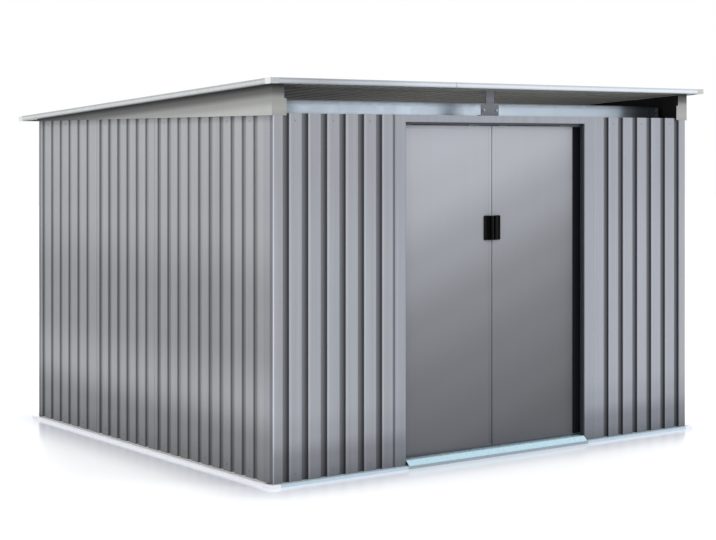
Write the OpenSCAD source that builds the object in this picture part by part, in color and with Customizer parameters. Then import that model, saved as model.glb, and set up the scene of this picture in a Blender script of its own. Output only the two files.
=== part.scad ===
// Metal tool shed: ribbed steel walls on a folded base rail, two sliding
// doors hung behind the front wall, and a lean-to roof that falls to the rear.
// Millimetres. +Z is up and the front wall faces -Y. The origin is on the
// ground, at the middle of the roof's plan.

/* [Shed] */
// Width over the ribs of the two side walls
shed_w = 2588; // [2488:2:2700]
// Depth over the ribs of the front and rear walls
shed_d = 2318; // [2316:2:2400]
// Height of the wall sheets' top edge
wall_top = 1627; // [1500:1:1900]
// Thickness of the sheet steel
sheet_t = 0.8; // [0.6:0.1:1]

/* [Ribs] */
// Spacing of the grooves in the front, rear and roof sheets
rib_pitch = 102; // [98:1:103]
// Width of a groove at the sheet's face
groove_w = 35; // [30:1:38]
// Width of a groove at its bottom
groove_base_w = 28; // [20:1:28]
// Depth of a groove
groove_d = 12; // [8:1:14]
// Distance from a corner of the shed to the middle of the first groove
first_groove = 67; // [62:1:70]

/* [Doorway] */
// Clear width between the jambs
door_opening_w = 1132; // [1126:2:1160]
// Height of the strip over the doorway
header_h = 33; // [31:1:36]
// Width of the flat strip on each side of the doorway
jamb_w = 72; // [68:1:78]
// Distance from the front ribs back to the doors' faces
door_recess = 52; // [52:1:60]
// Thickness of a door
door_t = 20; // [18:1:20]
// Height of the doors' bottom edge
door_bottom = 42; // [42:1:46]
// Distance that each door slides
door_travel = 505; // [450:5:505]
// Height and width of each pull handle
handle_size = [118, 46]; // [40:1:120]
// Height of the handles' middle above the ground
handle_z = 1089; // [1000:1:1150]

/* [Roof] */
// Fall of the roof towards the rear, in degrees
roof_fall = 3.1; // [3:0.05:4]
// Depth of the edge trim
trim_h = 25; // [24:1:28]
// Overhang in front of the front wall
front_overhang = 72; // [60:1:80]
// Overhang behind the rear wall
rear_overhang = 129; // [110:1:140]
// Overhang beside each side wall
side_overhang = 60; // [50:1:70]
// Height of the ribs in the roof sheets
roof_rib_h = 18; // [12:1:18]

/* [Hidden] */
$fn = 48;

// Colours of the paint, the zinc and the plastics
wall_grey = "#8f9299";
frame_grey = "#9a9da3";
zinc = "#c4cdd6";
pale_zinc = "#dfeef0";
roof_white = "#d9dadd";
handle_black = "#101214";
nylon_white = "#e8e8e4";

// Small gap that keeps separate pieces from sharing metal
slip = 0.2;
// How far a lapped sheet or flange stands off the one below it
lap_lift = sheet_t + slip;
// Width of a lap between two sheets
lap_w = 20;

// Plan of the walls and roof
roof_d = shed_d + front_overhang + rear_overhang;
roof_w = shed_w + 2 * side_overhang;
front_y = front_overhang - roof_d / 2;
half_w = shed_w / 2;
half_opening = door_opening_w / 2;

// Base rail section: foot, outer lip, ledge and web
rail_t = 1.5;
rail_reach = 25;
rail_foot = 46;
rail_ledge = 13.5;
rail_web_h = 60;
web_set = groove_d + sheet_t + slip + 1;
wall_bottom = rail_ledge + slip;
wall_h = wall_top - wall_bottom;
anchor_r = 5;
anchor_set = 32;
anchor_from_end = 150;

// Channels that stiffen the walls from inside
channel_size = 30;
channel_t = 1.5;
channel_set = web_set;
channel_depth = channel_set + channel_size + channel_t;
rail_z = wall_top - channel_size;
brace_z = 800;

// Corner posts: flange widths on the front or rear wall and on the side walls, and the bend's radius
post_end_w = 49;
post_side_w = [74, 43];
post_r = 8;
sheet_end = post_r + 1;

// Front wall sheets
front_grooves = 1 + floor(
    (half_w - half_opening - jamb_w - first_groove - groove_w / 2) / rib_pitch);
// Side wall sheets, front to rear: [edge, middle of the first groove, number of grooves, spacing]
side_sheets = [[sheet_end, 144, 10, 95], [1040, 1119, 6, 96], [1641, 1741, 6, 103]];
// Rear wall sheets, left to right: the same
rear_count = floor((shed_w - 2 * post_end_w) / (3 * rib_pitch));
rear_groove = (shed_w - (3 * rear_count - 1) * rib_pitch) / 2;
rear_sheets = [for (i = [0 : 2]) [
    i == 0 ? sheet_end : rear_groove + (rear_count * i - 0.5) * rib_pitch,
    rear_groove + rear_count * i * rib_pitch, rear_count, rib_pitch
]];

// Doors and their tracks
door_gap = 2.5;
door_w = half_opening + 20;
door_top = wall_top - 47;
door_lip = 15;
sill_top = 36;
track_slot = [door_recess + 14, door_recess + 31];
track_y = [door_recess, door_recess + 45];
track_z = [wall_top - 31, wall_top - 1];
track_t = 1.2;
hanger_t = 3;
hanger_w = 60;
hanger_from_edge = 90;
wheel_r = 10;
wheel_w = 8;
guide_size = [50, 8];
guide_channel = [door_recess - 3, door_recess + 23];
jamb_return = [18, 40];
jamb_step = 10;

// Front beam, the brackets at its ends and the strut over the door track
beam_y = 230;
beam_h = 66;
bracket_size = [50, 58];
bracket_t = 4;
strut_y = 64;
strut_w = 50;
strut_foot = [110, 30, 56];
roof_beam_h = 40;
roof_beam_y = [830, 1500];

// Roof, in its own tilted frame: x across, y down the fall, z square to it.
// Its sheets rest on the rear wall, and roof_low is its front edge's underside.
roof_len = (roof_d - trim_h * sin(roof_fall)) / cos(roof_fall);
pan_z = 3;
roof_low = wall_top + 0.5 + (shed_d + front_overhang) * tan(roof_fall) - pan_z / cos(roof_fall);
trim_t = 1;
trim_top_w = 22;
trim_bottom_w = 16;
cap_side = 45;
cap_t = 1.5;
roof_ribs = floor((roof_w - 40) / rib_pitch);
roof_breaks = [for (i = [0 : 4]) round(i * roof_ribs / 4)];
trim_joint_x = 1035 - roof_w / 2;
trim_joint_gap = 2;
gable_stand = 8;
gable_flange_w = 65;
gable_step = [12, 65];
gable_lap = 10;

// Underside of the roof's flat pans above a given distance behind the front ribs
function under_roof(s) = roof_low + pan_z / cos(roof_fall)
    - (s + front_overhang) * tan(roof_fall);

// Places: the front wall's frame (y inwards from the ribs) and the tilted roof's frame
module at_front() { translate([0, front_y, 0]) children(); }
module on_roof() {
    translate([0, -roof_d / 2, roof_low]) rotate([-roof_fall, 0, 0]) children();
}
module mirrored() { mirror([1, 0, 0]) children(); }

// A strip of sheet along a path, sheet_t thick to the right of it, with mitred corners
function unit(v) = v / norm(v);
function right_of(v) = [v[1], -v[0]];
function mitred(before, here, after) = let (
    n1 = right_of(unit(here - before)),
    n2 = right_of(unit(after - here))
) here + sheet_t * (n1 + n2) / (1 + n1 * n2);
function backed(path) = let (last = len(path) - 1) [for (i = [0 : last]) mitred(
    i == 0 ? 2 * path[0] - path[1] : path[i - 1],
    path[i],
    i == last ? 2 * path[last] - path[last - 1] : path[i + 1]
)];
function reversed(list) = [for (i = [len(list) - 1 : -1 : 0]) list[i]];
module sheet_strip(path) { polygon(concat(path, reversed(backed(path)))); }

// Path of a ribbed sheet in plan. The face is at y = 0 and the grooves run to y = -depth.
// bend_cut is the distance from each bend's corner at which its rounding starts.
bend_cut = 2.25;
function rounded(path) = [for (i = [1 : len(path) - 2]) each [
    path[i] + bend_cut * unit(path[i - 1] - path[i]),
    path[i] + bend_cut * unit(path[i + 1] - path[i])
]];
function groove_points(c, depth) = rounded([
    [c - groove_w, 0], [c - groove_w / 2, 0], [c - groove_base_w / 2, -depth],
    [c + groove_base_w / 2, -depth], [c + groove_w / 2, 0], [c + groove_w, 0]
]);
function sheet_path(start, stop, grooves, depth, lifted) = concat(
    lifted ? [[start, lap_lift], [start + lap_w, lap_lift], [start + lap_w + 1, 0]] : [[start, 0]],
    [for (c = grooves) each groove_points(c, depth)],
    [[stop, 0]]
);
module ribbed_sheet(start, stop, grooves, height, lifted = false) {
    linear_extrude(height) sheet_strip(sheet_path(start, stop, grooves, groove_d, lifted));
}
function groove_run(first, pitch, count) = [for (i = [0 : count - 1]) first + i * pitch];

// A row of lapped sheets that ends at a given length
module lapped_sheets(sheets, length) {
    for (i = [0 : len(sheets) - 1]) {
        sheet = sheets[i];
        stop = i == len(sheets) - 1 ? length - sheet_end : sheets[i + 1][0] + lap_w - 1;
        translate([0, 0, wall_bottom])
            ribbed_sheet(sheet[0], stop, groove_run(sheet[1], sheet[3], sheet[2]), wall_h,
                lifted = i > 0);
    }
}

// Strip of folded metal of thickness t through the corners in path, all square bends
module folded(path, t, length) {
    translate([-length / 2, 0, 0]) rotate([90, 0, 90]) linear_extrude(length)
        for (i = [0 : len(path) - 2]) {
            low = [min(path[i][0], path[i + 1][0]), min(path[i][1], path[i + 1][1])];
            high = [max(path[i][0], path[i + 1][0]), max(path[i][1], path[i + 1][1])];
            translate(low) square([high[0] - low[0] + t, high[1] - low[1] + t]);
        }
}

// Base rail: y is the distance inwards from the ribs, x runs along the rail
module base_rail(length, web_length) {
    difference() {
        folded([
            [rail_foot - rail_t, 0], [-rail_reach, 0], [-rail_reach, rail_ledge - rail_t],
            [web_set, rail_ledge - rail_t]
        ], rail_t, length);
        for (side = [-1, 1])
            translate([side * (length / 2 - anchor_from_end), anchor_set, -1])
                cylinder(r = anchor_r, h = rail_t + 2);
    }
    if (web_length > 0)
        translate([-web_length / 2, web_set, rail_ledge - rail_t])
            cube([web_length, rail_t, rail_web_h - rail_ledge + rail_t]);
}
module base_rail_front() {
    color(zinc) at_front() base_rail(shed_w + 2 * rail_reach, 0);
}
module base_rail_rear() {
    color(zinc) translate([0, front_y + shed_d, 0]) rotate(180)
        base_rail(shed_w + 2 * rail_reach, shed_w - 2 * (web_set + rail_t + slip));
}
module base_rail_right() {
    length = shed_d - 2 * rail_foot - 2;
    color(zinc) translate([half_w, front_y + shed_d / 2, 0]) rotate(90)
        base_rail(length, length);
}
module base_rail_left() { mirrored() base_rail_right(); }

// Sloped sill plate in front of the doors
module door_ramp() {
    ramp_t = 1.2;
    length = door_opening_w - 10;
    low = rail_ledge + slip;
    top = sill_top - ramp_t;
    nose = rail_reach - 2;
    back = guide_channel[0] - 2;
    color(pale_zinc) at_front() translate([-length / 2, 0, 0]) rotate([90, 0, 90])
        linear_extrude(length) polygon([
            [-nose, low], [-nose + 4, low], [1, top], [back, top],
            [back, sill_top], [0, sill_top], [-nose, low + 3]
        ]);
}

// Lower track: an upright channel that the doors' guides run in
module door_track_bottom() {
    length = 2 * (door_w + door_travel) + 20;
    color(zinc) at_front() folded([
        [guide_channel[0], sill_top - channel_t], [guide_channel[0], 0],
        [guide_channel[1] - channel_t, 0], [guide_channel[1] - channel_t, sill_top - channel_t]
    ], channel_t, length);
}
// Upper track: a channel with a slot in its underside
module door_track_top() {
    length = 2 * (door_w + door_travel) + 20;
    t = track_t;
    color(zinc) at_front() folded([
        [track_slot[0] - t, track_z[0]], [track_y[0], track_z[0]], [track_y[0], track_z[1] - t],
        [track_y[1] - t, track_z[1] - t], [track_y[1] - t, track_z[0]], [track_slot[1], track_z[0]]
    ], t, length);
}

// Corner post in plan, with its bend at the origin and its flanges along +x and +y
module corner_section(along_x, along_y) {
    translate([post_r, 0]) square([along_x - post_r, sheet_t]);
    translate([0, post_r]) square([sheet_t, along_y - post_r]);
    intersection() {
        translate([post_r, post_r]) difference() {
            circle(post_r);
            circle(post_r - sheet_t);
        }
        square(post_r);
    }
}
module corner_post(side_w) {
    color(wall_grey) translate([-half_w - lap_lift, -lap_lift, wall_bottom])
        linear_extrude(wall_h) corner_section(post_end_w + lap_lift, side_w + lap_lift);
}
module corner_post_front_left() { at_front() corner_post(post_side_w[0]); }
module corner_post_front_right() { mirrored() corner_post_front_left(); }
module corner_post_rear_left() {
    translate([0, front_y + shed_d, 0]) mirror([0, 1, 0]) corner_post(post_side_w[1]);
}
module corner_post_rear_right() { mirrored() corner_post_rear_left(); }

// Walls
module front_wall_left() {
    color(wall_grey) translate([-half_w, front_y, wall_bottom]) mirror([0, 1, 0])
        ribbed_sheet(sheet_end, half_w - half_opening - jamb_w / 2,
            groove_run(first_groove, rib_pitch, front_grooves), wall_h);
}
module front_wall_right() { mirrored() front_wall_left(); }
module right_wall() {
    color(wall_grey) translate([half_w, front_y, 0]) mirror([1, 0, 0]) rotate(90)
        lapped_sheets(side_sheets, shed_d);
}
module left_wall() { mirrored() right_wall(); }
module rear_wall() {
    color(wall_grey) translate([-half_w, front_y + shed_d, 0])
        lapped_sheets(rear_sheets, shed_w);
}

// Door frame: jambs with a folded return, and the header between them
module door_jamb_right() {
    t = sheet_t;
    face = -lap_lift;
    edge = half_opening;
    color(frame_grey) at_front() translate([edge, 0, wall_bottom]) {
        translate([0, face, 0]) cube([jamb_w, t, wall_h]);
        linear_extrude(rail_z - slip - wall_bottom) {
            translate([0, face]) square([t, jamb_return[0] - face]);
            translate([0, jamb_return[0]]) square([jamb_step + t, t]);
            translate([jamb_step, jamb_return[0]]) square([t, jamb_return[1] - jamb_return[0]]);
        }
    }
}
module door_jamb_left() { mirrored() door_jamb_right(); }
module door_header() {
    t = sheet_t;
    color(frame_grey) at_front() folded([
        [channel_set - 2 * t, wall_top - header_h], [-lap_lift, wall_top - header_h],
        [-lap_lift, wall_top - t], [channel_set - 2 * t, wall_top - t]
    ], t, door_opening_w - 2 * slip);
}

// Channel along the inside of a wall, its web against the grooves' backs
module channel(length, low) {
    folded([
        [channel_set + channel_size, low], [channel_set, low],
        [channel_set, low + channel_size - channel_t],
        [channel_set + channel_size, low + channel_size - channel_t]
    ], channel_t, length);
}
module top_rail_front() { color(zinc) at_front() channel(shed_w - 2 * channel_set, rail_z); }
module top_rail_rear() {
    color(zinc) translate([0, front_y + shed_d, 0]) rotate(180)
        channel(shed_w - 2 * channel_set, rail_z);
}
module side_channel(low) {
    translate([half_w, front_y + shed_d / 2, 0]) rotate(90)
        channel(shed_d - 2 * (channel_depth + slip), low);
}
module top_rail_right() { color(zinc) side_channel(rail_z); }
module top_rail_left() { mirrored() top_rail_right(); }
module wall_braces() {
    color(zinc) {
        side_channel(brace_z);
        mirrored() side_channel(brace_z);
        translate([0, front_y + shed_d, 0]) rotate(180)
            channel(shed_w - 2 * channel_set, brace_z);
    }
}

// Gable: the wedge between the side wall and the roof. It stands off the wall on a folded lip,
// and a stepped flange wraps round the front corner.
module right_gable() {
    t = sheet_t;
    front = lap_lift + t + slip;
    low = wall_top - gable_lap;
    far = shed_d + front;
    high = under_roof(-front + t) - slip;
    color(frame_grey) at_front() {
        translate([half_w + gable_stand - t, 0, 0]) rotate([90, 0, 90]) linear_extrude(t) polygon([
            [-front, low], [far, low],
            [far, under_roof(far) - slip], [-front, under_roof(-front) - slip]
        ]);
        translate([half_w + lap_lift + slip, -front, low])
            cube([gable_stand - lap_lift - slip, far + front, t]);
        translate([half_w + gable_stand - gable_flange_w, -front, low])
            cube([gable_flange_w, t, high - low]);
        translate([half_w + gable_stand - gable_flange_w - gable_step[0], -front, low])
            cube([gable_flange_w, t, gable_step[1] + gable_lap]);
    }
}
module left_gable() { mirrored() right_gable(); }

// Cross beams under the roof
module cross_beam(s, low, height) {
    translate([0, s, 0]) folded([
        [channel_size - channel_t, low], [0, low],
        [0, low + height - channel_t], [channel_size - channel_t, low + height - channel_t]
    ], channel_t, shed_w - 2 * slip);
}
module front_beam() { color(zinc) at_front() cross_beam(beam_y, wall_top + slip, beam_h); }
module roof_beams() {
    color(zinc) at_front() for (s = roof_beam_y)
        cross_beam(s, under_roof(s + channel_size) - roof_beam_h - slip, roof_beam_h);
}

// Strut that stands on the door track and carries the roof's front edge, and the brackets
// that hold the front beam at the side walls
module beam_brackets() {
    low = wall_top + slip;
    color(frame_grey) at_front() {
        translate([-strut_foot[0] / 2, strut_y, low]) {
            cube([strut_foot[0], bracket_t, strut_foot[2]]);
            cube([strut_foot[0], strut_foot[1], bracket_t]);
        }
        translate([-strut_w / 2, strut_y, low])
            cube([strut_w, bracket_t, under_roof(strut_y + bracket_t) - slip - low]);
        for (side = [0, 1]) mirror([side, 0, 0])
            translate([half_w - web_set - bracket_t, beam_y - bracket_size[0] - slip, low]) {
                cube([bracket_t, bracket_size[0], bracket_size[1]]);
                translate([-channel_size, bracket_size[0] - bracket_t, 0])
                    cube([channel_size + bracket_t, bracket_t, bracket_size[1]]);
            }
    }
}

// Roof sheets: flat pans with ribs that stand up
function roof_rib_x(i) = (i - (roof_ribs - 1) / 2) * rib_pitch;
module roof_sheet(n) {
    first = roof_breaks[n - 1];
    last = roof_breaks[n] - 1;
    edge = roof_w / 2 - trim_t - slip;
    start = first == 0 ? -edge : roof_rib_x(first) - rib_pitch / 2;
    stop = last == roof_ribs - 1 ? edge : roof_rib_x(last) + rib_pitch / 2 + lap_w - 1;
    ribs = [for (i = [first : last]) roof_rib_x(i)];
    length = roof_len - 2 * (trim_t + slip);
    color(roof_white) on_roof()
        translate([0, trim_t + slip + length, pan_z + sheet_t]) rotate([90, 0, 0])
            linear_extrude(length)
                sheet_strip(sheet_path(start, stop, ribs, -roof_rib_h, first > 0));
}
module roof_sheet_1() { roof_sheet(1); }
module roof_sheet_2() { roof_sheet(2); }
module roof_sheet_3() { roof_sheet(3); }
module roof_sheet_4() { roof_sheet(4); }

// Roof edge trim: a channel that wraps the sheets' edges, between plastic corner caps
module trim(length) {
    folded([
        [trim_bottom_w - trim_t, 0], [0, 0], [0, trim_h - trim_t], [trim_top_w - trim_t, trim_h - trim_t]
    ], trim_t, length);
}
module front_trim(start, stop) {
    on_roof() translate([(start + stop) / 2, 0, 0]) trim(stop - start);
}
module roof_trim_front_left() {
    color(roof_white) front_trim(cap_side - roof_w / 2, trim_joint_x - trim_joint_gap / 2);
}
module roof_trim_front_right() {
    color(roof_white) front_trim(trim_joint_x + trim_joint_gap / 2, roof_w / 2 - cap_side);
}
module roof_trim_rear() {
    color(roof_white) on_roof() translate([0, roof_len, 0]) rotate(180)
        trim(roof_w - 2 * cap_side);
}
module roof_trim_right() {
    color(roof_white) on_roof() translate([roof_w / 2, roof_len / 2, 0]) rotate(90)
        trim(roof_len - 2 * cap_side);
}
module roof_trim_left() { mirrored() roof_trim_right(); }
module corner_cap() {
    leg = cap_side - slip;
    for (turn = [0, 1])
        mirror([turn, -turn, 0]) {
            cube([leg, trim_t, trim_h]);
            cube([leg, trim_bottom_w, trim_t]);
            translate([0, 0, trim_h - trim_t]) cube([leg, trim_top_w, trim_t]);
        }
}
module roof_corner_caps() {
    color(nylon_white) on_roof() for (side = [0, 1]) mirror([side, 0, 0]) {
        translate([-roof_w / 2, 0, 0]) corner_cap();
        translate([-roof_w / 2, roof_len, 0]) mirror([0, 1, 0]) corner_cap();
    }
}

// Right door: a folded tray with stiffeners across its back
module right_door() {
    t = sheet_t;
    high = door_top - door_bottom;
    color(wall_grey) at_front() translate([door_gap, door_recess, door_bottom]) {
        difference() {
            cube([door_w, door_t, high]);
            translate([t, t, t]) cube([door_w - 2 * t, door_t - 2 * t, high - 2 * t]);
            translate([door_lip, t, door_lip])
                cube([door_w - 2 * door_lip, door_t, high - 2 * door_lip]);
        }
        for (z = [0.25, 0.5, 0.75]) translate([t / 2, t / 2, z * high - 20])
            difference() {
                cube([door_w - t, door_t - t, 40]);
                translate([-1, -1, t]) cube([door_w + 2, door_t - 2 * t + 1, 40 - 2 * t]);
            }
    }
}
module left_door() { mirrored() right_door(); }

// Pull handle: a rounded plate with a grip along the doors' meeting edge
module right_door_handle() {
    base_d = 6;
    grip_d = 24;
    corner = 6;
    grip_w = 14;
    color(handle_black) at_front() translate([2 + door_gap, door_recess, handle_z]) rotate([90, 0, 0]) {
        linear_extrude(base_d) rounded_plate(handle_size[1], handle_size[0], corner);
        linear_extrude(grip_d) rounded_plate(grip_w, handle_size[0], corner);
    }
}
module rounded_plate(w, h, r) {
    translate([0, r - h / 2]) square([w, h - 2 * r]);
    translate([r, -h / 2]) square([w - 2 * r, h]);
    for (x = [r, w - r], y = [r - h / 2, h / 2 - r]) translate([x, y]) circle(r);
}
module left_door_handle() { mirrored() right_door_handle(); }

// Two hangers with their wheels in the upper track, and two guides in the lower one
module right_door_runners() {
    axle_z = track_z[0] + track_t + wheel_r + slip;
    neck_y = door_recess + door_t;
    color(nylon_white) at_front() for (x = [hanger_from_edge, door_w - hanger_from_edge]) {
        translate([door_gap + x - hanger_w / 2, neck_y, door_top - 50])
            cube([hanger_w, hanger_t, 70]);
        translate([door_gap + x - 12, neck_y, door_top]) cube([24, hanger_t, axle_z + 4 - door_top]);
        translate([door_gap + x, track_slot[0] - wheel_w - 2, axle_z]) rotate([-90, 0, 0]) {
            cylinder(r = wheel_r, h = wheel_w);
            cylinder(r = 3, h = track_slot[1] - track_slot[0] + 2 * wheel_w + 4);
            translate([0, 0, track_slot[1] - track_slot[0] + wheel_w + 4])
                cylinder(r = wheel_r, h = wheel_w);
        }
        translate([door_gap + x - guide_size[0] / 2, door_recess + (door_t - guide_size[1]) / 2, 12])
            cube([guide_size[0], guide_size[1], door_bottom - 12]);
    }
}
module left_door_runners() { mirrored() right_door_runners(); }

base_rail_front();
base_rail_rear();
base_rail_left();
base_rail_right();
door_ramp();
door_track_bottom();
door_track_top();
corner_post_front_left();
corner_post_front_right();
corner_post_rear_left();
corner_post_rear_right();
front_wall_left();
front_wall_right();
left_wall();
right_wall();
rear_wall();
door_jamb_left();
door_jamb_right();
door_header();
top_rail_front();
top_rail_rear();
top_rail_left();
top_rail_right();
wall_braces();
left_gable();
right_gable();
front_beam();
beam_brackets();
roof_beams();
roof_sheet_1();
roof_sheet_2();
roof_sheet_3();
roof_sheet_4();
roof_trim_front_left();
roof_trim_front_right();
roof_trim_rear();
roof_trim_left();
roof_trim_right();
roof_corner_caps();
left_door();
left_door_handle();
left_door_runners();
right_door();
right_door_handle();
right_door_runners();
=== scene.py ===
"""Finishes and small parts of a metal garden shed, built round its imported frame.

Each class is one finish or one sub-assembly. Lengths are in metres. The origin is on the ground under the
middle of the roof, the doors face -Y and +Z is up.
"""

import logging
import math
from collections.abc import Iterable, Sequence
from dataclasses import dataclass, replace
from enum import Enum
from functools import cache, reduce
from typing import NamedTuple

import bmesh
import bpy
from mathutils import Matrix, Vector


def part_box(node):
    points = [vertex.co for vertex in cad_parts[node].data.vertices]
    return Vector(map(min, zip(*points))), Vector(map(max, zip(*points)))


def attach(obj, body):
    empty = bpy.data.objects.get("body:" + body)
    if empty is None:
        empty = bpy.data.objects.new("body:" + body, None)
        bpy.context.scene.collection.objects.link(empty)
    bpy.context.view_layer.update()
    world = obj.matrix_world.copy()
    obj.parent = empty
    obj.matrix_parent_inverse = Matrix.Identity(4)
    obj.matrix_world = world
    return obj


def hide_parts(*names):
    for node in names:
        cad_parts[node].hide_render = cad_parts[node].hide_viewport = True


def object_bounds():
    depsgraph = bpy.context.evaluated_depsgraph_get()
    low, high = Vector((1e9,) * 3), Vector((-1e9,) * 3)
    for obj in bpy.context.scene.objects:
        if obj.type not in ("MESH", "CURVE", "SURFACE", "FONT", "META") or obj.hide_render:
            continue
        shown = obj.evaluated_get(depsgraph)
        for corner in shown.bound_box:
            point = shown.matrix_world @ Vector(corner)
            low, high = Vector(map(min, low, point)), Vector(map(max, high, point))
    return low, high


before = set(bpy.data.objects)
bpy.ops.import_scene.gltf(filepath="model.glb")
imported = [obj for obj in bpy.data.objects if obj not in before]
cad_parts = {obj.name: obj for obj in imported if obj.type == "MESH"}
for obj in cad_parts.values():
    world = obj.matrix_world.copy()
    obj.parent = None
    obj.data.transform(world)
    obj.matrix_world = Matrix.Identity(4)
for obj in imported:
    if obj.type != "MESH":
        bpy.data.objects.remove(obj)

LOG = logging.getLogger("shed")
CAD_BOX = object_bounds()
MM = 0.001
SHARP = math.radians(35)
SIDES = ("left", "right")
ROOF_SHEETS = ("roof_sheet_1", "roof_sheet_2", "roof_sheet_3", "roof_sheet_4")

Colour = tuple[float, float, float, float]
Triple = tuple[float, float, float]
Socket = bpy.types.NodeSocket
Run = tuple[float, float]

ACROSS: Triple = (1.0, 0.0, 0.0)
INWARD: Triple = (0.0, 1.0, 0.0)
OUTWARD: Triple = (0.0, -1.0, 0.0)
UP: Triple = (0.0, 0.0, 1.0)
WHITE: Colour = (1.0, 1.0, 1.0, 1.0)


def tint(red: int, green: int, blue: int) -> Colour:
    """Turns a colour as seen on a screen into a linear one.

    Args:
        red: red part, from 0 to 255.
        green: green part, from 0 to 255.
        blue: blue part, from 0 to 255.

    Returns:
        The linear colour, opaque.
    """
    parts = [part / 255 for part in (red, green, blue)]
    linear = [p / 12.92 if p <= 0.04045 else ((p + 0.055) / 1.055) ** 2.4 for p in parts]
    return (*linear, 1.0)


def show(name: str, data: bpy.types.ID) -> bpy.types.Object:
    """Puts a mesh, a lamp or a camera into the scene.

    Args:
        name: the object's name.
        data: what it shows.

    Returns:
        The new object.
    """
    made = bpy.data.objects.new(name, data)
    bpy.context.scene.collection.objects.link(made)
    return made


class Facing(Enum):
    """The way that a wall's outer face looks."""

    FRONT = (0.0, -1.0, 0.0)
    REAR = (0.0, 1.0, 0.0)
    LEFT = (-1.0, 0.0, 0.0)
    RIGHT = (1.0, 0.0, 0.0)

    @property
    def outward(self) -> Vector:
        """Unit vector out of the wall."""
        return Vector(self.value)

    @property
    def along(self) -> Vector:
        """Level unit vector along the wall."""
        return Vector((-self.value[1], self.value[0], 0.0))

    def place(self, run: float, level: float, height: float) -> Matrix:
        """Gives the frame of something fixed to the wall, with its local Z pointing out of it.

        Args:
            run: distance along the wall.
            level: distance out of the wall.
            height: height above the ground.

        Returns:
            The frame as a matrix.
        """
        spot = self.along * run + self.outward * level + Vector((0, 0, height))
        return Matrix.Translation(spot) @ self.outward.to_track_quat("Z", "Y").to_matrix().to_4x4()


WALLS = {
    "front_wall_left": Facing.FRONT,
    "front_wall_right": Facing.FRONT,
    "left_wall": Facing.LEFT,
    "right_wall": Facing.RIGHT,
    "rear_wall": Facing.REAR,
}


class Cad:
    """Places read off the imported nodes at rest."""

    @staticmethod
    @cache
    def points(node: str) -> tuple[Vector, ...]:
        """Every vertex of a node."""
        return tuple(vertex.co.copy().freeze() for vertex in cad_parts[node].data.vertices)

    @staticmethod
    def reach(node: str, direction: Vector) -> Run:
        """Least and greatest distance of a node along a direction."""
        levels = [point.dot(direction) for point in Cad.points(node)]
        return min(levels), max(levels)

    @staticmethod
    def crest_level(node: str, facing: Facing) -> float:
        """Finds how far out the crests of a ribbed wall lie, laps left aside.

        Args:
            node: name of the wall's node.
            facing: the wall's direction.

        Returns:
            The crests' distance from the origin along the outward direction.
        """
        step = 0.1 * MM
        least_crest_corners = 8
        levels: dict[int, set[float]] = {}
        for point in Cad.points(node):
            level = round(point.dot(facing.outward) / step)
            levels.setdefault(level, set()).add(round(point.dot(facing.along), 4))
        return max(level for level, spots in levels.items() if len(spots) >= least_crest_corners) * step

    @staticmethod
    def flats(node: str, outward: Vector, along: Vector, level: float) -> list[Run]:
        """Finds the flat runs of a ribbed sheet at one level.

        Args:
            node: name of the sheet's node.
            outward: direction square to the sheet.
            along: direction across the ribs.
            level: distance of the runs along outward.

        Returns:
            The start and the end of each run along the sheet.
        """
        near = 0.2 * MM
        at_level = [point for point in Cad.points(node) if abs(point.dot(outward) - level) < near]
        spots = sorted({round(point.dot(along), 5) for point in at_level})
        return list(zip(spots[::2], spots[1::2]))

    @staticmethod
    def clusters(node: str, gap: float) -> list[tuple[Vector, Vector]]:
        """Splits a node from left to right into groups that stand apart, and boxes each.

        Args:
            node: name of the node.
            gap: least distance between two groups.

        Returns:
            The lowest and the highest corner of each group.
        """
        points = sorted(Cad.points(node), key=lambda point: point.x)
        groups = [[points[0]]]
        for point in points[1:]:
            if point.x - groups[-1][-1].x > gap:
                groups.append([])
            groups[-1].append(point)
        return [(Vector(map(min, zip(*group))), Vector(map(max, zip(*group)))) for group in groups]

    @staticmethod
    def roof_normal() -> Vector:
        """Direction square to the roof sheets, from the largest upward face."""
        upward = 0.9
        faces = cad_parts["roof_sheet_1"].data.polygons
        return max((f for f in faces if f.normal.z > upward), key=lambda f: f.area).normal.copy()


class LeafSpan(NamedTuple):
    """Box of a part on one leaf, its meeting and outer edges, and 1 or -1 for the way between them."""

    low: Vector
    high: Vector
    meeting: float
    outer: float
    way: int

    @classmethod
    def read(cls, node: str) -> "LeafSpan":
        """Reads a node of the left or the right leaf.

        Args:
            node: name of the node, which starts with its side.

        Returns:
            Its box and its edges.
        """
        low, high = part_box(node)
        if node.startswith("right"):
            return cls(low, high, low.x, high.x, 1)
        return cls(low, high, high.x, low.x, -1)


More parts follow.
